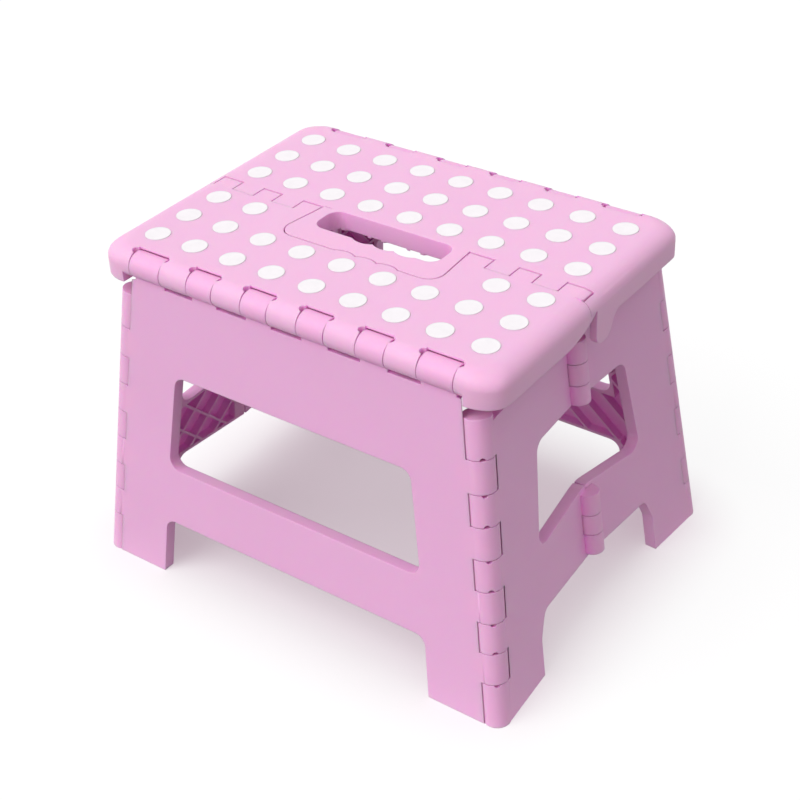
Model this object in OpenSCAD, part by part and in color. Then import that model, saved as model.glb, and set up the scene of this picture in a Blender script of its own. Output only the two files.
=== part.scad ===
// Plastic folding stool
//
// The seat is two halves, joined by a hinge under the seam. Under each half a leg panel swings on
// knuckles moulded along its top edge. The two ends are closed by pairs of end halves, which fold
// inwards between the leg panels. Every pin is a short stub moulded on a knuckle, and it snaps into a
// socket in the next panel.
//
// X runs along the seat, the front is at -Y, Z is up, and the floor is at Z = 0. "Depth" means the
// distance below the seat top.

/* [Whole stool] */
// height of the seat top above the floor
stool_h = 230; // [200:1:260]
// length of the seat
seat_l = 285; // [270:1:300]
// width of the seat over both halves
seat_w = 214; // [206:1:222]
// outward lean of the leg panels, in degrees
leg_lean = 6.1; // [4:0.1:9]
// outward lean of the end panels, in degrees
end_lean = 7.3; // [5:0.1:9]
// how far each end half is already turned inwards when the stool stands, in degrees
end_tuck = 4; // [2:0.5:6]

/* [Seat halves] */
// corner radius in plan
seat_corner_r = 23; // [15:0.5:30]
// radius of the top edge
seat_edge_r = 10; // [6:0.5:12]
// depth of the skirt at the two ends
skirt_d = 20.5; // [18:0.5:24]
// thickness of the seat top
seat_skin = 3; // [2:0.1:4]
// thickness of the skirt at the two ends
skirt_t = 4; // [3:0.5:6]
// thickness of the walls at the seam
seam_t = 3; // [2:0.1:4]
// depth of the walls at the seam
seam_d = 16; // [12:0.5:18]
// how much the skirt thickens under the rounded top edge
skirt_step = 2.5; // [2:0.5:4]
// depth where this thickening ends
skirt_step_d = 8; // [6:0.5:10]
// width of the beam that carries the leg hinge
beam_w = 20; // [18:0.5:24]
// radius of the beam's underside, about the hinge axis
under_r = 8.5; // [7.5:0.1:8.8]
// half the length of this underside
relief_x = 124; // [122.5:0.5:126]
// depth of the ribs under the seat
seat_rib_d = 13; // [8:0.5:16]
// distance between these ribs
seat_rib_pitch = 21; // [14:0.5:30]
// gap between the two halves at the seam
seam_gap = 0.3; // [0.2:0.05:0.6]
// depth of the lugs that cover the ends of the seam
lug_d = 34.5; // [28:0.5:34.5]
// width of the lugs at their lower edge
lug_w = 14.5; // [10:0.5:16]
// radius of the lugs' lower corners
lug_r = 7; // [4:0.5:7]
// how far from the seam the front skirt starts to curve up towards the lugs
skirt_rise_y = 34; // [30:1:40]
// radius of this curve
skirt_rise_r = 58; // [50:1:60]

/* [Fingers] */
// width of the square fingers that reach over the seam
finger_w = 16.5; // [12:0.5:20]
// reach of the fingers past the seam
finger_reach = 4.5; // [3:0.5:8]
// thickness of the fingers
finger_t = 10; // [6:0.5:12]
// distance between neighbouring fingers
finger_pitch = 34.5; // [30:0.5:40]
// middle of the first finger, on each side of the handle
finger_x = 61; // [50:0.5:70]
// sideways shift of the whole row of fingers
finger_shift = 3.5; // [0:0.5:5]
// gap round the fingers and the handle tongue
finger_gap = 1; // [0.6:0.1:1.5]

/* [Handle] */
// half the length of the handle slot
grip_half = 46; // [40:1:50]
// how far the slot reaches behind the seam
grip_back = 5; // [2:0.5:8]
// how far the slot reaches in front of the seam, at its waves
grip_front = 21; // [16:0.5:26]
// corner radius of the slot
grip_r = 8; // [4:0.5:12]
// reach of the tongue in front of the seam
tongue_reach = 35.5; // [30:0.5:40]
// half the length of the tongue
tongue_half = 57; // [52:0.5:62]
// corner radius of the tongue
tongue_r = 9.5; // [6:0.5:12]
// thickness of the tongue
tongue_t = 12; // [8:0.5:14]
// length of one wave of the grip
wave_l = 15.5; // [12:0.5:18]
// depth of one wave of the grip
wave_d = 2.3; // [1:0.1:3]
// middle of the three waves
wave_x = 8.4; // [0:0.5:12]

/* [Grip dots] */
// diameter of the dots
dot_d = 16; // [10:0.5:20]
// distance between the dots along the seat
dot_pitch = 30; // [20:0.5:36]
// distance between the rows of dots
dot_row = 28.4; // [20:0.2:32]
// distance from the seam to the first row
dot_first = 20.4; // [15:0.2:25]
// depth of the recess that each dot fills
dot_t = 1.2; // [0.8:0.1:2]
// how far the dots stand above the seat top
dot_rise = 0.3; // [0:0.1:0.8]
// clearance round each dot in its recess
dot_gap = 0.05; // [0:0.01:0.1]

/* [Seat to leg hinge] */
// depth of the hinge axis
knee_d = 10; // [8:0.5:12]
// distance from the hinge axis out to the leg panel's outer face
knee_in = 3.5; // [2:0.5:5]
// distance of the leg panels' outer faces from the seam, at the depth of the seat top
leg_y = 101; // [95:0.5:105]
// radius of the knuckles
knee_r = 8.6; // [6:0.1:9]
// clearance round the knuckles
knee_gap = 0.7; // [0.4:0.1:1]
// middles of the slots on one side of the seat's centre
slot_x = [20.7, 62.4, 106];
// widths of these slots
slot_w = [20, 20, 24.5];
// inner edge of the slots at the seat top, from the seam
slot_y = 96.3; // [92:0.1:100]
// how far the slots reach inwards under the hinge axis
slot_under = 5.5; // [5:0.1:7]
// thickness of the beam's outer wall at its pockets
slot_back = 5.5; // [5:0.5:7]

/* [Panels] */
// thickness of all the folding panels
panel_t = 8; // [6:0.5:10]
// thickness of their outer skin
panel_skin = 2.2; // [1.5:0.1:3]
// thickness of the walls round their edges
flange_t = 2.3; // [1.5:0.1:3]
// thickness of the soles under the feet
sole_t = 3.5; // [2.5:0.5:6]
// thickness of the diagonal ribs
rib_t = 1.8; // [1.2:0.1:2.5]
// distance between the diagonal ribs
rib_pitch = 17; // [12:0.5:30]
// depth of the leg panels' top edge
leg_top_d = 19.6; // [19:0.1:22]
// depths of the leg window's top and bottom
leg_window_d = [76.8, 145.8];
// half widths of the leg window at its top and bottom
leg_window_x = [89, 98.5];
// depth of the top of the cut-out between the feet
leg_arch_d = 187; // [180:1:200]
// half widths of this cut-out at its top and at the floor
leg_arch_x = [103, 109];
// corner radius of the windows
window_r = 8; // [4:0.5:12]

/* [Corner hinges] */
// distance of the end panels' outer faces from the centre, at the depth of the seat top
end_x = 130.5; // [125:0.5:135]
// distance of the corner hinges' axes inside the panels' outer faces
corner_in = 8.5; // [8.3:0.1:10]
// how far the corner knuckles stand out of the outer faces
corner_proud = 0.2; // [0.15:0.05:1]
// clearance between a panel and the other panel's knuckles
corner_gap = 0.5; // [0.3:0.1:1]
// gap between neighbouring knuckles
knuckle_gap = 0.5; // [0.3:0.1:1]
// depth of the first knuckle on the leg panel
corner_first_d = 56; // [50:0.5:60]
// height of the leg panel's knuckles
corner_knuckle_h = 21; // [15:0.5:25]
// distance between them
corner_pitch = 41.5; // [35:0.5:45]
// number of knuckles on each edge of the leg panel
corner_count = 4; // [2:1:5]
// depth of the top of the end half's first knuckle
corner_top_d = 31; // [25:0.5:35]

/* [End halves] */
// depth of the end halves' top edge
end_top_d = 21.5; // [21:0.5:26]
// width of the raised part of the top edge, from the middle
end_tab_w = 80; // [60:1:90]
// depth of the top edge beside the corner
end_shoulder_d = 34.5; // [32:0.5:40]
// radius of the middle knuckles
mid_r = 7; // [5:0.5:8]
// distance from the outer face out to the middle hinge's axis
mid_out = 2; // [1:0.5:4]
// depths where the front half's middle knuckles start and end
mid_front_d = [[33, 48], [62.5, 76], [140.5, 155.5], [170, 185]];
// depths where the rear half's middle knuckles start and end
mid_rear_d = [[48, 62.5], [155.5, 170]];

/* [Centre hinge] */
// radius of the knuckles under the seam
centre_r = 6; // [5:0.5:7]
// length of the front half's knuckles
centre_l = 10; // [8:0.5:14]
// thickness of the ears beside them
ear_t = 5; // [4:0.5:6]
// reach of the hinge's arms from the seam
arm_y = 14; // [10:0.5:16]

/* [Pins] */
// radius of the stubs
pin_r = 2.5; // [2:0.1:3]
// length of the stubs
pin_l = 2.5; // [1.5:0.1:3]
// running clearance round the stubs
pin_gap = 0.05; // [0.02:0.01:0.1]
// extra depth of the sockets
socket_extra = 0.5; // [0.3:0.1:1]
// radius of the lead-in grooves
lead_r = 1.8; // [1.2:0.1:2.2]

/* [Hidden] */
$fn = 48;
far = 400;
// the panels are drawn this much past the floor, then cut off level with it
floor_extra = 12;
seat_pink = [0.95, 0.72, 0.88];
panel_pink = [0.90, 0.66, 0.82];
dot_white = [0.97, 0.95, 0.96];

function unit(v) = v / norm(v);

// the leg hinge's axis, seen along X, and the centre hinge's depth
knee_y = leg_y + knee_d * tan(leg_lean) - knee_in / cos(leg_lean);
centre_d = 2 * corner_in + mid_out + knee_d - knee_in;
ear_x = (centre_l + ear_t) / 2 + knuckle_gap;

// the corner axis: its point at the depth of the seat top, and its direction downwards
corner_r = corner_in + corner_proud;
corner_at = [end_x - corner_in / cos(end_lean), corner_in / cos(leg_lean) - leg_y, stool_h];
corner_dn = unit([tan(end_lean), -tan(leg_lean), -1]);
corner_k = -1 / corner_dn.z;
corner_side = unit(cross(cross(corner_dn, [1, -1, 0]), corner_dn));

// the front right end half: its outer face's normal, turned inwards about the corner axis
end_flat = [cos(end_lean), 0, sin(end_lean)];
end_n = cos(end_tuck) * end_flat - sin(end_tuck) * cross(corner_dn, end_flat);
mid_dn = unit(cross([0, 1, 0], end_n));
end_side = cross(mid_dn, end_n);
end_at = [(end_n * corner_at + corner_in - end_n.z * stool_h) / end_n.x, 0, stool_h];
mid_k = -1 / mid_dn.z;
mid_shift = mid_out * (end_side * cross(mid_dn, [0, -1, 0])) / (end_n * cross(mid_dn, [0, -1, 0]));

// where the corner axis runs in the leg panel's and the end half's own planes
function leg_edge(v) = corner_at.x + (corner_in * tan(leg_lean) - v) * cos(leg_lean) * tan(end_lean);
function end_edge(v) = (corner_at - end_at) * end_side
  + (v - (corner_at - end_at) * mid_dn) * (corner_dn * end_side) / (corner_dn * mid_dn);
function leg_v(d) = -d / cos(leg_lean);

// the corner knuckles' depths: the leg panel's, then the end half's, which fill the rest
leg_knuckles = [for (i = [0:corner_count - 1])
  [corner_first_d + i * corner_pitch, corner_first_d + i * corner_pitch + corner_knuckle_h]];
end_knuckles = [for (i = [0:corner_count])
  [i == 0 ? corner_top_d : leg_knuckles[i - 1][1],
   i == corner_count ? stool_h + 10 : leg_knuckles[i][0]]];

// Outlines

// each point of an outline moved inwards: d holds one distance for each edge
function inset(p, d) = let (n = len(p)) [for (i = [0:n - 1])
  moved(p[(i + n - 1) % n], p[i], p[(i + 1) % n],
        is_list(d) ? d[(i + n - 1) % n] : d, is_list(d) ? d[i] : d)];
function moved(a, b, c, d1, d2) =
  let (e = unit(b - a), f = unit(c - b), ne = [-e.y, e.x], nf = [-f.y, f.x])
  b + d1 * ne + e * (d2 - d1 * (nf * ne)) / (nf * e);

// one corner of an outline: its tangent points, the arc's centre, whether it is convex, its radius
function bend(a, b, c, r) =
  let (p = unit(a - b), q = unit(c - b), h = acos(p * q) / 2)
  r == 0 ? [[b], b, true, 0]
         : [[b + p * r / tan(h), b + q * r / tan(h)], b + unit(p + q) * r / sin(h),
            cross(b - a, c - b) > 0, r];

// a polygon, listed anticlockwise, with true arcs at its corners
module rounded(pts, rads) {
  n = len(pts);
  bends = [for (i = [0:n - 1])
    bend(pts[(i + n - 1) % n], pts[i], pts[(i + 1) % n], is_list(rads) ? rads[i] : rads)];
  difference() {
    union() {
      polygon([for (k = bends) each k[0]]);
      for (k = bends) if (k[3] > 0 && k[2]) translate(k[1]) circle(k[3]);
    }
    for (k = bends) if (k[3] > 0 && !k[2]) translate(k[1]) circle(k[3]);
  }
}

// diagonal ribs, crossing at right angles
module lattice(pitch, t, count) {
  for (a = [-45, 45]) rotate(a)
    for (i = [-count:count]) translate([(i + 0.5) * pitch - t / 2, -far]) square([t, 2 * far]);
}

// a moulded panel, with its outer face at z = 0: an outer skin, walls round its edges and ribs behind
module panel(outline, insets, rads, holes, hole_rads) {
  difference() {
    translate([0, 0, -panel_t]) linear_extrude(panel_t) difference() {
      rounded(outline, rads);
      for (i = [0:len(holes) - 1]) rounded(holes[i], hole_rads[i]);
    }
    translate([0, 0, -panel_t - 1]) linear_extrude(panel_t - panel_skin + 1) difference() {
      polygon(inset(outline, insets));
      for (i = [0:len(holes) - 1]) polygon(inset(holes[i], -flange_t));
      lattice(rib_pitch, rib_t, 9);
    }
  }
}

// Places

module in_leg() {
  translate([0, -leg_y, stool_h]) rotate([90 - leg_lean, 0, 0]) children();
}

module in_end() {
  multmatrix([[end_side.x, mid_dn.x, end_n.x, end_at.x],
              [end_side.y, mid_dn.y, end_n.y, end_at.y],
              [end_side.z, mid_dn.z, end_n.z, end_at.z],
              [0, 0, 0, 1]]) children();
}

// z runs down the corner axis and x points out of the corner
module at_corner() {
  y = cross(corner_dn, corner_side);
  multmatrix([[corner_side.x, y.x, corner_dn.x, corner_at.x],
              [corner_side.y, y.y, corner_dn.y, corner_at.y],
              [corner_side.z, y.z, corner_dn.z, corner_at.z],
              [0, 0, 0, 1]]) children();
}

// z runs down the middle hinge's axis, inside in_end
module at_mid() {
  translate([mid_shift, 0, mid_out]) rotate([-90, 0, 0]) children();
}

module both_sides() {
  children();
  mirror([1, 0, 0]) children();
}

module above_floor() {
  difference() {
    children();
    translate([-far, -far, -2 * far]) cube(2 * far);
  }
}

// a stretch of round bar down the z axis, between two depths along that axis
module bar(d, r, k, trim) {
  translate([0, 0, d[0] * k + trim]) cylinder(r = r, h = (d[1] - d[0]) * k - 2 * trim);
}

// Leg panels

module leg_plate() {
  top = leg_v(leg_top_d);
  end = leg_v(stool_h + floor_extra);
  corner_flange = corner_r + corner_gap + flange_t;
  panel([[leg_edge(top), top], [-leg_edge(top), top], [-leg_edge(end), end], [leg_edge(end), end]],
        [flange_t, corner_flange, sole_t + floor_extra, corner_flange],
        0,
        [[[leg_window_x[0], leg_v(leg_window_d[0])], [-leg_window_x[0], leg_v(leg_window_d[0])],
          [-leg_window_x[1], leg_v(leg_window_d[1])], [leg_window_x[1], leg_v(leg_window_d[1])]],
         [[leg_arch_x[0], leg_v(leg_arch_d)], [-leg_arch_x[0], leg_v(leg_arch_d)],
          [-leg_arch_x[1], end - 1], [leg_arch_x[1], end - 1]]],
        [window_r, [window_r, window_r, 0, 0]]);
}

// the stubs and knuckles along the top edge, which turn in the seat's slots
module leg_knees() {
  y = leg_v(knee_d) + knee_in * tan(leg_lean);
  web = leg_v(leg_top_d + flange_t);
  for (s = [-1, 1], i = [0:len(slot_x) - 1]) {
    w = slot_w[i] - 2 * corner_gap;
    in_leg() translate([s * slot_x[i] - w / 2, 0, 0]) {
      rotate([90, 0, 90]) linear_extrude(w) {
        translate([y, -knee_in]) circle(knee_r);
        translate([web, -panel_t]) square([y - web, panel_t]);
      }
      translate([-pin_l, y, -knee_in]) rotate([0, 90, 0]) cylinder(r = pin_r, h = w + 2 * pin_l);
    }
  }
}

module leg() {
  above_floor() {
    difference() {
      in_leg() leg_plate();
      both_sides() at_corner() {
        bar([0, leg_knuckles[0][0]], corner_r + corner_gap, corner_k, -knuckle_gap / 2);
        for (i = [1:corner_count])
          bar(end_knuckles[i], corner_r + corner_gap, corner_k, -knuckle_gap / 2);
      }
    }
    both_sides() at_corner() for (k = leg_knuckles) {
      bar(k, corner_r, corner_k, knuckle_gap / 2);
      bar([k[0] - pin_l, k[1] + pin_l], pin_r, corner_k, 0);
    }
    leg_knees();
  }
}

// End halves

module end_plate() {
  top = end_top_d * mid_k;
  low = end_shoulder_d * mid_k;
  end = (stool_h + floor_extra) * mid_k;
  near = seam_gap;
  mid_flange = mid_r + corner_gap + flange_t;
  corner_flange = corner_r + corner_gap + flange_t;
  panel([[near, top], [end_tab_w, top], [end_tab_w, low], [end_edge(low), low],
         [end_edge(end), end], [near, end]],
        [flange_t, flange_t, flange_t, corner_flange, sole_t + floor_extra, mid_flange],
        [0, 3, 3, 0, 0, 0],
        [[[-10, 76], [51, 76], [61.5, 145.5], [5, 137.5], [-10, 137.5]],
         [[-10, 188], [62.5, 188], [70, 205], [72, end + 1], [-10, end + 1]]],
        [[0, window_r, window_r, 0, 0], [0, 7, 12, 0, 0]]);
}

// one end half at the front right, with the knuckles of its own side of the middle hinge
module end_half(own, other) {
  above_floor() {
    difference() {
      union() {
        difference() {
          in_end() end_plate();
          at_corner() for (k = leg_knuckles)
            bar(k, corner_r + corner_gap, corner_k, -knuckle_gap / 2);
        }
        at_corner() for (k = end_knuckles) bar(k, corner_r, corner_k, knuckle_gap / 2);
        in_end() at_mid() for (k = own) bar(k, mid_r, 1, knuckle_gap / 2);
      }
      in_end() at_mid() for (k = other) bar(k, mid_r + corner_gap, 1, -knuckle_gap / 2);
      at_corner() for (k = leg_knuckles) {
        bar([k[0] - pin_l - socket_extra, k[1] + pin_l + socket_extra], pin_r + pin_gap, corner_k, 0);
        for (z = k) translate([0, 0, z * corner_k]) rotate([0, 90, 0]) cylinder(r = lead_r, h = 12);
      }
    }
  }
}

// Seat halves, with the seat top at z = 0

// half a section of the seat, straight below its rounded top edge
module seat_edge(w) {
  translate([0, -skirt_d]) square([w - seat_edge_r, skirt_d]);
  translate([0, -skirt_d]) square([w, skirt_d - seat_edge_r]);
  translate([w - seat_edge_r, -seat_edge_r]) circle(seat_edge_r);
}

// the seat's whole outer form, both halves
module seat_block() {
  x = seat_l / 2 - seat_corner_r;
  y = seat_w / 2 - seat_corner_r;
  for (i = [-1, 1], j = [-1, 1]) translate([i * x, j * y, 0])
    rotate_extrude() seat_edge(seat_corner_r);
  both_sides() translate([0, y, 0]) rotate([90, 0, 0]) linear_extrude(2 * y) seat_edge(seat_l / 2);
  for (j = [0, 1]) mirror([0, j, 0]) translate([-x, 0, 0]) rotate([90, 0, 90])
    linear_extrude(2 * x) seat_edge(seat_w / 2);
}

// the room under the front half, where the ribs stand
module seat_hollow() {
  x = seat_l / 2 - skirt_t;
  y = seat_w / 2 - beam_w;
  difference() {
    union() {
      translate([-x + skirt_step, -y, -far]) cube([2 * (x - skirt_step), y - seam_t, far - seat_skin]);
      translate([-x, -y, -far]) cube([2 * x, y - seam_t, far - skirt_step_d]);
    }
    translate([0, 0, -seat_rib_d]) linear_extrude(far) lattice(seat_rib_pitch, rib_t, 9);
  }
  translate([-x, -y, -far]) cube([2 * x, far, far - seam_d]);
}

// the rounded underside of the long edge, which clears the leg panel's top edge as it swings
module knee_relief() {
  translate([-relief_x, -knee_y, -knee_d]) rotate([90, 0, 90]) linear_extrude(2 * relief_x)
    mirror([1, 0]) difference() {
      translate([-far, -far]) square([2 * far, far]);
      translate([-far, -under_r]) square([far, far]);
      circle(under_r);
    }
}

// pockets that lighten the beam between two slots
module beam_pockets() {
  wall = pin_l + 2;
  depth = beam_w - slot_back - flange_t;
  for (s = [0, 1], i = [0:len(slot_x) - 1]) if (i + s > 0) mirror([s, 0, 0]) {
    from = i == 0 ? slot_w[0] / 2 - slot_x[0] : slot_x[i - 1] + slot_w[i - 1] / 2;
    to = slot_x[i] - slot_w[i] / 2;
    translate([from + wall, slot_back - seat_w / 2, -far])
      cube([to - from - 2 * wall, depth, far - seat_skin - 1]);
  }
}

// the slots for one leg panel's knuckles, with their sockets and lead-in grooves
module knee_slots() {
  socket_l = pin_l + socket_extra;
  for (s = [-1, 1], i = [0:len(slot_x) - 1]) {
    w = slot_w[i];
    x = s * slot_x[i] - w / 2;
    translate([x, -knee_y, -knee_d]) rotate([0, 90, 0]) {
      cylinder(r = knee_r + knee_gap, h = w);
      translate([0, 0, -socket_l]) cylinder(r = pin_r + pin_gap, h = w + 2 * socket_l);
    }
    translate([x, -far, -knee_d]) cube([w, far - slot_y, far]);
    translate([x, -far, -far]) cube([w, far - knee_y + slot_under, far - knee_d]);
    for (side = [0, w]) translate([x + side, -knee_y, -knee_d]) cylinder(r = lead_r, h = far);
  }
}

// the front half's common form; the rear half is its mirror image, before the handle and fingers
module half_shell() {
  difference() {
    seat_block();
    seat_hollow();
    beam_pockets();
    knee_relief();
    knee_slots();
    translate([-far, -seam_gap / 2, -far]) cube(2 * far);
  }
}

// the middles of the fingers, and of those that have a knuckle of the centre hinge under them
function finger_xs(n = 3) = [for (s = [-1, 1], i = [0:n - 1]) s * (finger_x + i * finger_pitch) + finger_shift];
function hinge_xs() = finger_xs(2);

module fingers() {
  for (x = finger_xs()) translate([x - finger_w / 2, -seam_t, -finger_t])
    cube([finger_w, seam_t + finger_reach, finger_t]);
}

module finger_room() {
  for (x = finger_xs()) translate([x - finger_w / 2 - finger_gap, -far, -far])
    cube([finger_w + 2 * finger_gap, far + finger_reach + finger_gap, 2 * far]);
}

// the tongue's outline, grown by an allowance
function tongue(e) = [[-tongue_half + 3 - e, grip_back], [-tongue_half - 3 - e, -tongue_reach - e],
  [tongue_half + 1 + e, -tongue_reach - e], [tongue_half - 2 + e, grip_back]];

module tongue_form(e) {
  rounded(tongue(e), [0, tongue_r + e, tongue_r + e, 0]);
}

// three waves in a row, hollowed out of a straight edge at y = 0 towards +y
module waves() {
  r = (wave_l * wave_l / 4 + wave_d * wave_d) / (2 * wave_d);
  for (i = [-1:1]) translate([wave_x + i * wave_l, wave_d - r]) circle(r);
}

module grip_slot() {
  translate([0, 0, -far]) linear_extrude(2 * far) {
    rounded([[-grip_half, -grip_front + wave_d], [grip_half, -grip_front + wave_d],
             [grip_half, grip_back], [-grip_half, grip_back]], grip_r);
    intersection() {
      translate([0, -grip_front + wave_d]) mirror([0, 1]) waves();
      translate([-grip_half, -grip_front]) square([2 * grip_half, grip_front]);
    }
  }
}

// an arm of the centre hinge, from its knuckle up to the underside of the front half
module centre_arm(w) {
  r = centre_r;
  translate([-w / 2, 0, 0]) rotate([90, 0, 90]) linear_extrude(w) {
    translate([0, -centre_d]) circle(r);
    polygon([[0, -centre_d - r], [-r, -centre_d], [-arm_y, -seat_rib_d + 1], [-arm_y, 0.5 - seat_skin],
             [0.5 - seam_t, 0.5 - seat_skin], [0.5 - seam_t, -seam_d], [0, r - centre_d]]);
  }
}

// the lug under each end of the rear half, which hides the end of the seam
module lugs() {
  both_sides() translate([seat_l / 2 - skirt_t, 0, 0]) rotate([90, 0, 90]) linear_extrude(skirt_t)
    rounded([[seam_gap / 2, -lug_d], [lug_w, -lug_d], [lug_w + lug_d / 4.5, -skirt_d],
             [2 * lug_w, -skirt_d], [2 * lug_w, -seat_edge_r], [seam_gap / 2, -seat_edge_r]],
            [lug_r, lug_r, lug_r, 0, 0, 0]);
}

// what the front skirt leaves free for the lugs when the seat is folded
module lug_room() {
  both_sides() translate([seat_l / 2 - skirt_t - 0.5, 0, 0]) rotate([90, 0, 90]) linear_extrude(far)
    difference() {
      translate([-skirt_rise_y, -far]) square([skirt_rise_y + finger_reach + 1, far - finger_t]);
      translate([-skirt_rise_y, skirt_rise_r - skirt_d]) circle(skirt_rise_r);
    }
}

module at_seat() {
  translate([0, 0, stool_h]) children();
}

module dots(xs, y) {
  for (x = xs) translate([x * dot_pitch, y, -dot_t]) children();
}

module front_dot_places() {
  dots([-4, -3, 3, 4], -dot_first) children();
  for (i = [1, 2]) dots([-4:4], -dot_first - i * dot_row) children();
}

module rear_dot_places() {
  for (i = [0:2]) dots([-4:4], dot_first + i * dot_row) children();
}

// a wall round the tongue's notch in the front half
module notch_wall() {
  translate([0, 0, -seat_rib_d]) linear_extrude(seat_rib_d - 0.5) intersection() {
    tongue_form(finger_gap + flange_t);
    translate([-far, -2 * far - seam_gap / 2]) square(2 * far);
  }
}

// walls round the fingers' pockets in the rear half
module finger_walls() {
  wall = finger_gap + flange_t;
  intersection() {
    for (x = finger_xs()) translate([x - finger_w / 2 - wall, seam_gap / 2, -seat_rib_d])
      cube([finger_w + 2 * wall, finger_reach + wall, seat_rib_d - 0.5]);
    seat_block();
  }
}

module tongue_plate() {
  translate([0, 0, -tongue_t]) linear_extrude(tongue_t) difference() {
    tongue_form(0);
    translate([0, -tongue_reach]) waves();
  }
  translate([-grip_half - flange_t, 0, -tongue_t])
    cube([2 * (grip_half + flange_t), grip_back + flange_t, tongue_t - 0.5]);
}

module front_seat() {
  color(seat_pink) at_seat() {
    difference() {
      union() {
        half_shell();
        fingers();
        notch_wall();
      }
      lug_room();
      front_dot_places() cylinder(d = dot_d + 2 * dot_gap, h = far);
      translate([0, 0, -far]) linear_extrude(2 * far) difference() {
        tongue_form(finger_gap);
        translate([0, -tongue_reach - finger_gap]) waves();
      }
    }
    for (x = hinge_xs()) translate([x, 0, 0]) {
      centre_arm(centre_l);
      translate([-centre_l / 2 - pin_l, 0, -centre_d]) rotate([0, 90, 0])
        cylinder(r = pin_r, h = centre_l + 2 * pin_l);
    }
  }
}

module rear_seat() {
  color(seat_pink) at_seat() difference() {
    union() {
      mirror([0, 1, 0]) half_shell();
      finger_walls();
      lugs();
      tongue_plate();
      for (x = hinge_xs(), s = [-1, 1]) translate([x + s * ear_x, 0, 0])
        mirror([0, 1, 0]) centre_arm(ear_t);
    }
    rear_dot_places() cylinder(d = dot_d + 2 * dot_gap, h = far);
    finger_room();
    grip_slot();
    for (x = hinge_xs()) translate([x, 0, -centre_d]) rotate([0, 90, 0])
      cylinder(r = pin_r + pin_gap, h = centre_l + 2 * (pin_l + socket_extra), center = true);
  }
}

// Nodes

module front_leg() { color(panel_pink) leg(); }
module rear_leg() { color(panel_pink) mirror([0, 1, 0]) leg(); }
module right_front_end() { color(panel_pink) end_half(mid_front_d, mid_rear_d); }
module right_rear_end() { color(panel_pink) mirror([0, 1, 0]) end_half(mid_rear_d, mid_front_d); }
module left_front_end() { color(panel_pink) mirror([1, 0, 0]) end_half(mid_front_d, mid_rear_d); }
module left_rear_end() {
  color(panel_pink) mirror([1, 0, 0]) mirror([0, 1, 0]) end_half(mid_rear_d, mid_front_d);
}
module front_grip_dots() {
  color(dot_white) at_seat() front_dot_places() cylinder(d = dot_d, h = dot_t + dot_rise);
}
module rear_grip_dots() {
  color(dot_white) at_seat() rear_dot_places() cylinder(d = dot_d, h = dot_t + dot_rise);
}

front_seat();
rear_seat();
front_leg();
rear_leg();
right_front_end();
right_rear_end();
left_front_end();
left_rear_end();
front_grip_dots();
rear_grip_dots();
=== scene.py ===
"""Looks of the plastic folding stool: seat halves with a finer meeting edge, plastic and grip
materials, studio light and camera."""

import math

import bmesh
import bpy
from mathutils import Matrix, Vector

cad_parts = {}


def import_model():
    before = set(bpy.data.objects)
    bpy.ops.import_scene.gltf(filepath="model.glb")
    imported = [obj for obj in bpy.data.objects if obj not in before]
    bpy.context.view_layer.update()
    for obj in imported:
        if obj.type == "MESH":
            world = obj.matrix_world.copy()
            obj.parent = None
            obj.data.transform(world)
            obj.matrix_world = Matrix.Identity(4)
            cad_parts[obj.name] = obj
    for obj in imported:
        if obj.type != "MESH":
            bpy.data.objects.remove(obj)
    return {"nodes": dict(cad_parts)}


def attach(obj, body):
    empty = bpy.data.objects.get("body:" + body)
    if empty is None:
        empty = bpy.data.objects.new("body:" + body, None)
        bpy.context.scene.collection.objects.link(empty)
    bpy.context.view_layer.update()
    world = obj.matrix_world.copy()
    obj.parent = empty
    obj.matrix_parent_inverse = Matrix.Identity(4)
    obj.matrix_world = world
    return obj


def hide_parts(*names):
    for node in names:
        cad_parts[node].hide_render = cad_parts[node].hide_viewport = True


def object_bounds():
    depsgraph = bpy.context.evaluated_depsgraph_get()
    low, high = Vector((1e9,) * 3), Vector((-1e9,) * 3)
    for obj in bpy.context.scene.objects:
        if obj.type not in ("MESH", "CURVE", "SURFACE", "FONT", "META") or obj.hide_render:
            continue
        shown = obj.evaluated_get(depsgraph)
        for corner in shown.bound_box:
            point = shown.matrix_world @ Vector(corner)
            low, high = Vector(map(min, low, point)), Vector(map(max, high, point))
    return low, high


# Camera, as fitted to the photograph: metres, degrees, and pixels of an 800 x 800 image
IMAGE_SIZE = 800
FOCAL_PX = 1594.6
IMAGE_CENTRE_PX = (412.2, 393.3)
CAMERA_AT = (0.5192, -0.6827, 0.6957)
CAMERA_AZIMUTH = 36.63
CAMERA_ELEVATION = 34.33
CAMERA_ROLL = -2.44
SENSOR_MM = 36.0
CLIP_START = 0.01

# Colours, as linear values
SEAT_PINK = (0.93, 0.515, 0.765)
# the panels' pink is the plastic's own colour with painted shade: a little darker and richer than the
# seat's, as the panels stand in shade
PANEL_PINK_PAINTED_SHADE = (0.92, 0.475, 0.755)
# a deeper pink that is painted as shade in cells and gaps
PAINTED_SHADE_PINK = (0.97, 0.34, 0.82)
GRIP_WHITE = (0.955, 0.915, 0.945)
FLOOR_NEAR = (0.58, 0.60, 0.59)
FLOOR_FAR = (0.20, 0.20, 0.20)

# Light: a broad soft lamp from the upper left, a pale sky, and a glow painted on the floor: pink near the
# stool as painted bounce light, and white further out, where it whitens the floor and hides the shadow.
# The shadow's reach is round the stool's footprint, and the painted shade's reach is into cells and gaps.
LAMP_FROM = (-0.68, -1.36, 1.40)
LAMP_STRENGTH = 1.75
LAMP_ANGLE = 50.0
SKY_STRENGTH = 0.65
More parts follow.
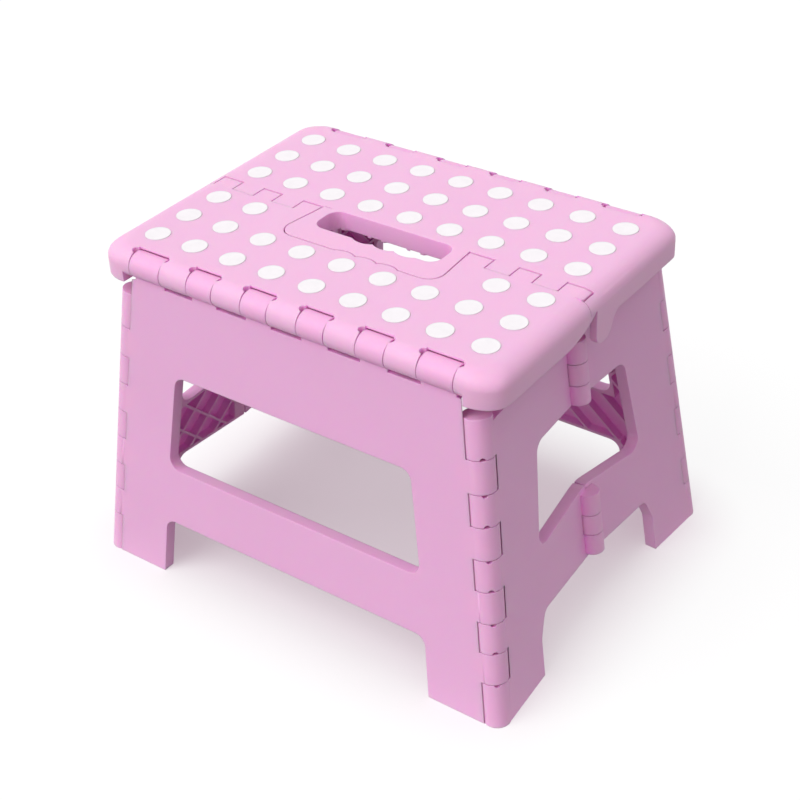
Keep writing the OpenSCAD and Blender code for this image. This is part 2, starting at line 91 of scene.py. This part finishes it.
# a pink glow painted on the floor near the stool as bounce light, and a white glow painted further out that
# hides the shadow
PAINTED_PINK_GLOW_NEAR = (0.38, 0.32, 0.35)
PAINTED_WHITE_GLOW_FAR = (0.83, 0.83, 0.83)
SHADOW_INSET = 0.03
SHADOW_REACH = 0.08
PAINTED_SHADE_REACH = 0.03
FLOOR_SIZE = 40.0
FLOOR_ROUGHNESS = 0.9

# Materials: each noise has its scale per metre, detail and roughness; heights and radii are in metres
FLOW_NOISE = (9.0, 3.0)
WEAR_NOISE = (60.0, 4.0)
GRAIN_NOISE = (2600.0, 2.0)
DUST_NOISE = (180.0, 5.0, 0.6)
GRIP_GRAIN_NOISE = (1500.0, 3.0)
NOISE_LOW = 0.3
NOISE_HIGH = 0.7
FLOW_SHADES = (0.985, 1.01)
DUST_SHADES = (0.965, 1.01)
PLASTIC_ROUGHNESS = (0.42, 0.50)
GRIP_ROUGHNESS = (0.58, 0.68)
PLASTIC_SPECULAR = 0.32
GRIP_SPECULAR = 0.35
GLOW_THROUGH = 0.4
GLOW_RADIUS = (0.005, 0.0012, 0.0035)
GRAIN_HEIGHT = 0.00006
GRIP_GRAIN_HEIGHT = 0.00005
EDGE_ROUND = 0.0007
GRIP_ROUND = 0.0005
LIGHT_SAMPLES = 6

# The seat halves, in millimetres from the middle of the seat top, with the front at -y. SEAM is half
# the gap between them, and the seat's top edge is rounded by EDGE_R.
MM = 0.001
SEAT_TOP = 0.23
SEAT_END = 142.5
EDGE_R = 10.0
SEAM = 0.15
# How far a cutting tool reaches past the surface that it opens, and a fill into the wall that it meets
PAST = 1.0
LAP = 0.1
ARC_STEPS = 24

# Square fingers of the front half
FINGER_MIDDLES = (-127.4, -95.0, 98.0, 130.4)
FINGER_HALF = 7.1
FINGER_ROOT = -8.0
FINGER_REACH = 3.3
FINGER_DEPTH = 10.0
# The two fingers beside the tongue and their rooms: the outer edge, then the inner edge at the
# finger's root, at its tip, and at the front and back of its room
INNER_FINGERS = ((-69.7, -57.1, -55.5, -55.0, -54.3), (72.7, 57.2, 56.3, 55.4, 55.0))

# Rooms for the fingers in the rear half, and its plates between them, which reach over the seam
FINGER_GAP = 0.9
ROOM_BACK = 4.8
ROOM_DEPTH = 14.0
PLATE_REACH = 7.0
PLATE_T = 3.0
PLATE_LAP = 0.5
PLATE_GAP = 0.3

# The CAD nodes' own meeting edge: how far and how deep the front fingers are cut away, and the rear
# rooms that are filled, with the left, right and front of the gap beside the tongue
CAD_FINGER_REACH = 6.0
CAD_FINGER_DEPTH = 12.0
CAD_ROOM_MIDDLES = (-126.5, -92.0, 64.5, 99.0, 133.5)
CAD_ROOM_HALF = 9.25
CAD_ROOM_BACK = 5.5
CAD_GAP = (-66.85, -54.0, 1.0)

# Trim of the new meeting edge to the seat's rounded ends: its radius, and its front and back
TRIM_R = EDGE_R + 0.03
TRIM_SPAN = (-7.25, 5.7)

# Handle tongue: for each side its half length at the front and back, and its thickness
TONGUE_SIDES = ((-1, 60.0, 54.0, 2.3), (1, 58.0, 55.0, 12.0))
TONGUE_R = 9.5
TONGUE_REACH = 35.5
TONGUE_BACK = 5.0
TONGUE_INNER = 47.5

# Front of the right lug: its corner's radius, its depth under the seat top, its thickness, the depth
# where it starts, and its depth where it meets the rest of the lug
LUG_R = 7.0
LUG_D = 34.5
LUG_T = 4.0
LUG_TOP = 9.0
LUG_MEET = 34.3

# Slots of the leg hinge: middles and widths on one side of the centre, the band that is cut behind
# the knuckles and its depth, the hinge line, and the radius of the lead-in notches
SLOTS = ((20.7, 20.0), (62.4, 20.0), (106.0, 24.5))
SLOT_BAND = (94.9, 97.0)
SLOT_DEEP = 9.0
KNEE_Y = 98.55
LEAD_R = 2.4

# Plan of the seat: the centre and radius of its corners, the tighter radius, how far from the centre
# that starts, and where the longer ends start and how far out they stand
CORNER_AT = (119.5, 84.0)
CORNER_R = 23.0
TIGHT_R = 15.5
CORNER_FROM = 10.0
END_FROM = 130.0
END_SHIFT = 2.5

# Mesh: welding distance in metres, and the angle from which an edge stays sharp
WELD = 1e-7
SHARP_ANGLE = 28.0


def link(tree, source, target):
    tree.links.new(source, target)


def new_material(name):
    material = bpy.data.materials.new(name)
    material.use_nodes = True
    tree = material.node_tree
    shader = tree.nodes["Principled BSDF"]
    place = tree.nodes.new("ShaderNodeTexCoord")
    return material, tree, shader, place.outputs["Object"]


def noise(tree, place, scale, detail=2.0, roughness=0.5):
    node = tree.nodes.new("ShaderNodeTexNoise")
    node.inputs["Scale"].default_value = scale
    node.inputs["Detail"].default_value = detail
    node.inputs["Roughness"].default_value = roughness
    link(tree, place, node.inputs["Vector"])
    return node.outputs["Fac"]


def spread(tree, value, low, high):
    """Maps a noise value, which lies near the middle of 0 to 1, to a range from low to high."""
    node = tree.nodes.new("ShaderNodeMapRange")
    node.inputs["From Min"].default_value = NOISE_LOW
    node.inputs["From Max"].default_value = NOISE_HIGH
    node.inputs["To Min"].default_value = low
    node.inputs["To Max"].default_value = high
    link(tree, value, node.inputs["Value"])
    return node.outputs["Result"]


def tinted(tree, colour, amount):
    """The colour, given as a socket or a constant, scaled by a value."""
    node = tree.nodes.new("ShaderNodeVectorMath")
    node.operation = "SCALE"
    if isinstance(colour, tuple):
        node.inputs[0].default_value = colour
    else:
        link(tree, colour, node.inputs[0])
    link(tree, amount, node.inputs["Scale"])
    return node.outputs["Vector"]


def mixed(tree, factor, low, high):
    """The colour low where the factor is 0, high where it is 1."""
    node = tree.nodes.new("ShaderNodeMix")
    node.data_type = "RGBA"
    link(tree, factor, node.inputs["Factor"])
    for socket, colour in zip((s for s in node.inputs if s.type == "RGBA"), (low, high)):
        socket.default_value = (*colour, 1)
    return next(s for s in node.outputs if s.type == "RGBA")


def painted_shade_mask(tree):
    """1 on open faces, falling towards 0 deep in cells and gaps, where a deeper pink is painted as shade."""
    node = tree.nodes.new("ShaderNodeAmbientOcclusion")
    node.samples = LIGHT_SAMPLES
    node.only_local = True
    node.inputs["Distance"].default_value = PAINTED_SHADE_REACH
    return node.outputs["AO"]


def bumped(tree, shader, height, distance, edge_radius):
    """A fine surface grain over edges that are rounded by edge_radius."""
    bevel = tree.nodes.new("ShaderNodeBevel")
    bevel.samples = LIGHT_SAMPLES
    bevel.inputs["Radius"].default_value = edge_radius
    bump = tree.nodes.new("ShaderNodeBump")
    bump.inputs["Distance"].default_value = distance
    link(tree, height, bump.inputs["Height"])
    link(tree, bevel.outputs["Normal"], bump.inputs["Normal"])
    link(tree, bump.outputs["Normal"], shader.inputs["Normal"])


def plastic_material(name, colour):
    """Satin moulded plastic: a spark-eroded grain, faint flow marks, rounded edges, and a deeper pink
    painted as shade in cells and gaps.
    """
    material, tree, shader, place = new_material(name)
    flow = noise(tree, place, *FLOW_NOISE)
    grain = noise(tree, place, *GRAIN_NOISE)
    # painted shade: the colour turns a deeper pink where cells and gaps keep the light out
    shade = mixed(tree, painted_shade_mask(tree), PAINTED_SHADE_PINK, colour)
    link(tree, tinted(tree, shade, spread(tree, flow, *FLOW_SHADES)), shader.inputs["Base Color"])
    wear = spread(tree, noise(tree, place, *WEAR_NOISE), *PLASTIC_ROUGHNESS)
    link(tree, wear, shader.inputs["Roughness"])
    shader.inputs["Specular IOR Level"].default_value = PLASTIC_SPECULAR
    shader.inputs["Subsurface Weight"].default_value = GLOW_THROUGH
    shader.inputs["Subsurface Radius"].default_value = GLOW_RADIUS
    shader.inputs["Subsurface Scale"].default_value = 1.0
    bumped(tree, shader, grain, GRAIN_HEIGHT, EDGE_ROUND)
    return material


def grip_material(name, colour):
    """Soft white grip inlay: matte, with faint dust."""
    material, tree, shader, place = new_material(name)
    dust = noise(tree, place, *DUST_NOISE)
    link(tree, tinted(tree, colour, spread(tree, dust, *DUST_SHADES)), shader.inputs["Base Color"])
    link(tree, spread(tree, dust, *GRIP_ROUGHNESS), shader.inputs["Roughness"])
    shader.inputs["Specular IOR Level"].default_value = GRIP_SPECULAR
    bumped(tree, shader, noise(tree, place, *GRIP_GRAIN_NOISE), GRIP_GRAIN_HEIGHT, GRIP_ROUND)
    return material


def solid(mesh, outline, ends, place):
    """Adds a closed prism; place gives the x, y and z of an outline's point at one of the ends."""
    rings = [[mesh.verts.new((x * MM, y * MM, SEAT_TOP + z * MM))
              for x, y, z in (place(u, v, end) for u, v in outline)] for end in ends]
    mesh.faces.new(rings[0][::-1])
    mesh.faces.new(rings[1])
    for i in range(len(outline)):
        j = (i + 1) % len(outline)
        mesh.faces.new((rings[0][i], rings[0][j], rings[1][j], rings[1][i]))


def prism(mesh, outline, low, high):
    """Adds an upright prism between two heights from the seat top."""
    solid(mesh, outline, (low, high), lambda x, y, z: (x, y, z))


def rectangle(left, right, front, back):
    return ((left, front), (right, front), (right, back), (left, back))


def quarter(radius):
    """Points of a quarter circle, from its first axis to its second."""
    return [(radius * math.cos(i * math.pi / 2 / ARC_STEPS), radius * math.sin(i * math.pi / 2 / ARC_STEPS))
            for i in range(ARC_STEPS + 1)]


def fillet(before, corner, after, radius):
    """The arc that rounds a corner of an outline."""
    corner = Vector(corner)
    one = (Vector(before) - corner).normalized()
    two = (Vector(after) - corner).normalized()
    half = one.angle(two) / 2
    centre = corner + (one + two).normalized() * radius / math.sin(half)
    reach = radius / math.tan(half)
    first = (corner + one * reach - centre).normalized()
    last = (corner + two * reach - centre).normalized()
    return [tuple(centre + first.slerp(last, i / ARC_STEPS) * radius) for i in range(ARC_STEPS + 1)]


def combine(piece, operation, build):
    """Joins a set of closed solids to a piece, or cuts them away."""
    mesh = bmesh.new()
    build(mesh)
    bmesh.ops.recalc_face_normals(mesh, faces=mesh.faces)
    data = bpy.data.meshes.new("tool")
    mesh.to_mesh(data)
    mesh.free()
    tool = bpy.data.objects.new("tool", data)
    bpy.context.scene.collection.objects.link(tool)
    step = piece.modifiers.new(operation, "BOOLEAN")
    step.operation = operation
    step.solver = "MANIFOLD"
    step.object = tool
    bpy.context.view_layer.update()
    shaped = piece.evaluated_get(bpy.context.evaluated_depsgraph_get())
    piece_data = bpy.data.meshes.new_from_object(shaped)
    piece.modifiers.clear()
    piece.data = piece_data
    bpy.data.objects.remove(tool)


def between_fingers(gap):
    """The stretches of the seam between the fingers and outside the tongue, as (left, right)."""
    blocks = [(middle - FINGER_HALF - gap, middle + FINGER_HALF + gap) for middle in FINGER_MIDDLES]
    blocks.append((INNER_FINGERS[0][0] - gap, INNER_FINGERS[1][0] + gap))
    stretches = []
    left = -SEAT_END - PAST
    for block_left, block_right in sorted(blocks):
        stretches.append((left, block_left))
        left = block_right
    return [*stretches, (left, SEAT_END + PAST)]


def plate_depth(left, right):
    """The plates are thin between the fingers, and as deep as the fingers at the seat's ends."""
    return FINGER_DEPTH if left < -SEAT_END or right > SEAT_END else PLATE_T


def end_trim(mesh):
    """What lies outside the seat's rounded top edges at its two ends, along the seam."""
    arc = [(SEAT_END - EDGE_R + x, z - EDGE_R) for z, x in quarter(TRIM_R)]
    outline = [*arc, (SEAT_END - EDGE_R + TRIM_R, -2 * EDGE_R), (SEAT_END + EDGE_R, -2 * EDGE_R),
               (SEAT_END + EDGE_R, EDGE_R), (SEAT_END - EDGE_R, EDGE_R)]
    for side in (1, -1):
        solid(mesh, [(side * x, z) for x, z in outline], TRIM_SPAN, lambda x, z, y: (x, y, z))


def front_away(mesh):
    """The CAD node's fingers, past the seam."""
    area = rectangle(-SEAT_END - PAST, SEAT_END + PAST, -SEAM, CAD_FINGER_REACH)
    prism(mesh, area, -CAD_FINGER_DEPTH, PAST)


def front_between(mesh):
    """The room for the rear half's plates."""
    for left, right in between_fingers(0.0):
        area = rectangle(left, right, -PLATE_REACH - PLATE_GAP, PAST)
        prism(mesh, area, -plate_depth(left, right) - PLATE_GAP, PAST)


def front_fingers(mesh):
    """The square fingers that reach over the seam."""
    for middle in FINGER_MIDDLES:
        area = rectangle(middle - FINGER_HALF, middle + FINGER_HALF, FINGER_ROOT, FINGER_REACH)
        prism(mesh, area, -FINGER_DEPTH, 0.0)
    for outer, root, tip, _, _ in INNER_FINGERS:
        outline = ((outer, FINGER_ROOT), (root, FINGER_ROOT), (tip, FINGER_REACH), (outer, FINGER_REACH))
        prism(mesh, outline, -FINGER_DEPTH, 0.0)


def rear_fill(mesh):
    """The CAD node's rooms for its fingers, filled again."""
    half = CAD_ROOM_HALF + LAP
    for middle in CAD_ROOM_MIDDLES:
        right = min(middle + half, SEAT_END)
        prism(mesh, rectangle(middle - half, right, SEAM, CAD_ROOM_BACK + LAP), -FINGER_DEPTH, 0.0)
    prism(mesh, rectangle(*CAD_GAP, CAD_ROOM_BACK + LAP), -FINGER_DEPTH, 0.0)


def rear_rooms(mesh):
    """The rooms for the front half's fingers."""
    half = FINGER_HALF + FINGER_GAP
    for middle in FINGER_MIDDLES:
        prism(mesh, rectangle(middle - half, middle + half, -PAST, ROOM_BACK), -ROOM_DEPTH, PAST)
    for outer, _, _, front, back in INNER_FINGERS:
        wall = outer + math.copysign(FINGER_GAP, outer)
        prism(mesh, ((wall, -PAST), (front, -PAST), (back, ROOM_BACK), (wall, ROOM_BACK)), -ROOM_DEPTH, PAST)


def rear_plates(mesh):
    """The plates that reach over the seam between the fingers."""
    for left, right in between_fingers(FINGER_GAP):
        prism(mesh, rectangle(left, right, -PLATE_REACH, PLATE_LAP), -plate_depth(left, right), 0.0)


def tongue_ends(mesh):
    """The two ends of the handle tongue; the left one is thin, over an arm of the centre hinge."""
    for side, front_x, back_x, thickness in TONGUE_SIDES:
        inner = (TONGUE_INNER, -TONGUE_REACH)
        outer = (back_x, TONGUE_BACK)
        corner = fillet(inner, (front_x, -TONGUE_REACH), outer, TONGUE_R)
        outline = [inner, *corner, outer, (TONGUE_INNER, TONGUE_BACK)]
        prism(mesh, [(side * x, y) for x, y in outline], -thickness, 0.0)


def lug_front(mesh):
    """The front of the right lug, from the seam to the rest of the lug."""
    arc = [(SEAM + LUG_R - y, LUG_R - LUG_D - z) for y, z in quarter(LUG_R)]
    back = CAD_ROOM_BACK + LAP
    outline = [(SEAM, -LUG_TOP), *(point for point in arc if point[0] < CAD_ROOM_BACK),
               (back, -LUG_MEET), (back, -LUG_TOP)]
    solid(mesh, outline, (SEAT_END - LUG_T, SEAT_END), lambda y, z, x: (x, y, z))


def slots():
    """Middle and width of each slot along one edge of the seat."""
    return [(end * x, width) for end in (1, -1) for x, width in SLOTS]


def slot_backs(side):
    """The room behind the leg panel's knuckles, on one side of the seam."""
    def build(mesh):
        front, back = sorted(side * y for y in SLOT_BAND)
        for x, width in slots():
            prism(mesh, rectangle(x - width / 2, x + width / 2, front, back), -SLOT_DEEP, PAST)
    return build


def lead_notches(side):
    """The round notches at both ends of each slot, through which the stubs snap in."""
    def build(mesh):
        turns = [i * math.tau / ARC_STEPS for i in range(ARC_STEPS)]
        ring = [(LEAD_R * math.cos(turn), side * KNEE_Y + LEAD_R * math.sin(turn)) for turn in turns]
        for x, width in slots():
            for end in (x - width / 2, x + width / 2):
                prism(mesh, [(end + u, y) for u, y in ring], -SLOT_DEEP, PAST)
    return build


def smooth(value):
    """Rises from 0 to 1 with level ends."""
    value = min(max(value, 0.0), 1.0)
    return value * value * (3 - 2 * value)


def squared(x, y):
    """Where a point goes when the seat's round corners are drawn tighter and its ends are moved out."""
    u = abs(x) - CORNER_AT[0]
    v = abs(y) - CORNER_AT[1]
    far = math.hypot(u, v)
    if min(u, v) > 0 and far > CORNER_FROM:
        inset = CORNER_R - TIGHT_R
        edge = CORNER_R * far / max(u, v)
        if edge * min(u, v) > inset * far:
            middle = inset * (u + v) / far
            edge = middle + math.sqrt(middle * middle - 2 * inset * inset + TIGHT_R * TIGHT_R)
        grow = 1 + (edge / CORNER_R - 1) * smooth((far - CORNER_FROM) / (CORNER_R - CORNER_FROM))
        x = math.copysign(CORNER_AT[0] + u * grow, x)
        y = math.copysign(CORNER_AT[1] + v * grow, y)
    shift = END_SHIFT * smooth((abs(x) - END_FROM) / (SEAT_END - END_FROM))
    return x + math.copysign(shift, x), y


def half_piece(frame, name, steps):
    """A seat half with its meeting edge reshaped, in place of its CAD node."""
    data = frame["nodes"][name].data.copy()
    normals = data.attributes.get("custom_normal")
    if normals is not None:
        data.attributes.remove(normals)
    mesh = bmesh.new()
    mesh.from_mesh(data)
    bmesh.ops.remove_doubles(mesh, verts=mesh.verts, dist=WELD)
    mesh.to_mesh(data)
    mesh.free()
    piece = bpy.data.objects.new(name + "_half", data)
    bpy.context.scene.collection.objects.link(piece)
    for operation, build in steps:
        combine(piece, operation, build)
    for vertex in piece.data.vertices:
        x, y = squared(vertex.co.x / MM, vertex.co.y / MM)
        vertex.co.x = x * MM
        vertex.co.y = y * MM
    for face in piece.data.polygons:
        face.use_smooth = True
        face.material_index = 0
    piece.data.set_sharp_from_angle(angle=math.radians(SHARP_ANGLE))
    shading = piece.modifiers.new("normals", "WEIGHTED_NORMAL")
    shading.keep_sharp = True
    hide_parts(name)
    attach(piece, name)
    return piece


def seat_halves(frame):
    """Both seat halves, each shaped from its CAD node in steps."""
    front = (("DIFFERENCE", front_away), ("DIFFERENCE", front_between), ("UNION", front_fingers))
    rear = (("UNION", rear_fill), ("DIFFERENCE", rear_rooms), ("UNION", rear_plates),
            ("UNION", tongue_ends), ("UNION", lug_front))
    halves = []
    for name, side, steps in (("front_seat", -1, front), ("rear_seat", 1, rear)):
        cuts = (end_trim, slot_backs(side), lead_notches(side))
        halves.append(half_piece(frame, name, (*steps, *(("DIFFERENCE", cut) for cut in cuts))))
    return halves


def dress(frame, halves):
    """Puts the materials on the CAD nodes and on the seat halves."""
    seat = plastic_material("seat_plastic", SEAT_PINK)
    # the panels get a copy of the plastic that is darker than the seat's, as painted shade
    panel = plastic_material("panel_plastic", PANEL_PINK_PAINTED_SHADE)
    grip = grip_material("grip_dots", GRIP_WHITE)
    for name, node in frame["nodes"].items():
        material = grip if name.endswith("dots") else seat if name.endswith("seat") else panel
        for slot in node.material_slots:
            slot.material = material
    for piece in halves:
        piece.data.materials.clear()
        piece.data.materials.append(seat)


def seen(tree):
    """1 for rays that show the background to the camera, straight or in a reflection, else 0."""
    path = tree.nodes.new("ShaderNodeLightPath")
    total = path.outputs["Is Camera Ray"]
    for ray in ("Is Glossy Ray", "Is Transmission Ray"):
        add = tree.nodes.new("ShaderNodeMath")
        add.operation = "ADD"
        add.use_clamp = True
        link(tree, total, add.inputs[0])
        link(tree, path.outputs[ray], add.inputs[1])
        total = add.outputs["Value"]
    return total


def beyond(tree, place, corner, reach):
    """0 over the stool's own footprint, rising smoothly to 1 at some reach outside it."""
    half = (corner[0] - SHADOW_INSET, corner[1] - SHADOW_INSET, 1.0)
    last = place
    for operation, operand in (("ABSOLUTE", None), ("SUBTRACT", half), ("MAXIMUM", (0, 0, 0))):
        node = tree.nodes.new("ShaderNodeVectorMath")
        node.operation = operation
        link(tree, last, node.inputs[0])
        if operand:
            node.inputs[1].default_value = operand
        last = node.outputs["Vector"]
    length = tree.nodes.new("ShaderNodeVectorMath")
    length.operation = "LENGTH"
    link(tree, last, length.inputs[0])
    ramp = tree.nodes.new("ShaderNodeMapRange")
    ramp.interpolation_type = "SMOOTHSTEP"
    ramp.inputs["From Max"].default_value = reach
    link(tree, length.outputs["Value"], ramp.inputs["Value"])
    return ramp.outputs["Result"]


def floor(corner):
    """A white floor that takes a soft shadow near the stool, with a painted pink glow there and a painted
    white glow further out that hides the shadow in the background.
    """
    bpy.ops.mesh.primitive_plane_add(size=FLOOR_SIZE)
    plane = bpy.context.object
    plane.name = "floor"
    material, tree, shader, place = new_material("floor")
    # painted light: the floor's colour and glow change with the distance from the stool, so that the shadow
    # fades out and a pink glow lies under the stool
    away = beyond(tree, place, corner, SHADOW_REACH)
    link(tree, mixed(tree, away, FLOOR_NEAR, FLOOR_FAR), shader.inputs["Base Color"])
    link(tree, mixed(tree, away, PAINTED_PINK_GLOW_NEAR, PAINTED_WHITE_GLOW_FAR), shader.inputs["Emission Color"])
    shader.inputs["Roughness"].default_value = FLOOR_ROUGHNESS
    shader.inputs["Specular IOR Level"].default_value = 0.0
    link(tree, seen(tree), shader.inputs["Emission Strength"])
    plane.data.materials.append(material)


def world():
    """White to the camera, and a weaker sky as light."""
    scene_world = bpy.data.worlds.new("studio")
    bpy.context.scene.world = scene_world
    scene_world.use_nodes = True
    tree = scene_world.node_tree
    background = tree.nodes["Background"]
    strength = tree.nodes.new("ShaderNodeMapRange")
    strength.inputs["To Min"].default_value = SKY_STRENGTH
    strength.inputs["To Max"].default_value = 1.0
    link(tree, seen(tree), strength.inputs["Value"])
    link(tree, strength.outputs["Result"], background.inputs["Strength"])
    background.inputs["Color"].default_value = (1, 1, 1, 1)


def lamp():
    data = bpy.data.lights.new("soft_lamp", "SUN")
    data.energy = LAMP_STRENGTH
    data.angle = math.radians(LAMP_ANGLE)
    light = bpy.data.objects.new("soft_lamp", data)
    bpy.context.scene.collection.objects.link(light)
    light.rotation_euler = Vector(LAMP_FROM).to_track_quat("Z", "Y").to_euler()


def camera():
    """The camera of the photograph, with its shifted image centre."""
    azimuth = math.radians(CAMERA_AZIMUTH)
    elevation = math.radians(CAMERA_ELEVATION)
    roll = math.radians(CAMERA_ROLL)
    back = Vector((math.sin(azimuth) * math.cos(elevation),
                   -math.cos(azimuth) * math.cos(elevation), math.sin(elevation)))
    level = Vector((0, 0, 1)).cross(back).normalized()
    upright = back.cross(level)
    right = math.cos(roll) * level + math.sin(roll) * upright
    up = back.cross(right)
    turn = Matrix((right, up, back)).transposed()
    data = bpy.data.cameras.new("camera")
    data.sensor_width = SENSOR_MM
    data.lens = FOCAL_PX / IMAGE_SIZE * SENSOR_MM
    data.shift_x = (IMAGE_SIZE / 2 - IMAGE_CENTRE_PX[0]) / IMAGE_SIZE
    data.shift_y = (IMAGE_CENTRE_PX[1] - IMAGE_SIZE / 2) / IMAGE_SIZE
    data.clip_start = CLIP_START
    view = bpy.data.objects.new("camera", data)
    bpy.context.scene.collection.objects.link(view)
    view.matrix_world = Matrix.Translation(CAMERA_AT) @ turn.to_4x4()
    bpy.context.scene.camera = view


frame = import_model()
cad_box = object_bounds()
camera()
world()
lamp()
floor(cad_box[1])
dress(frame, seat_halves(frame))
bpy.context.scene.view_settings.view_transform = "Standard"
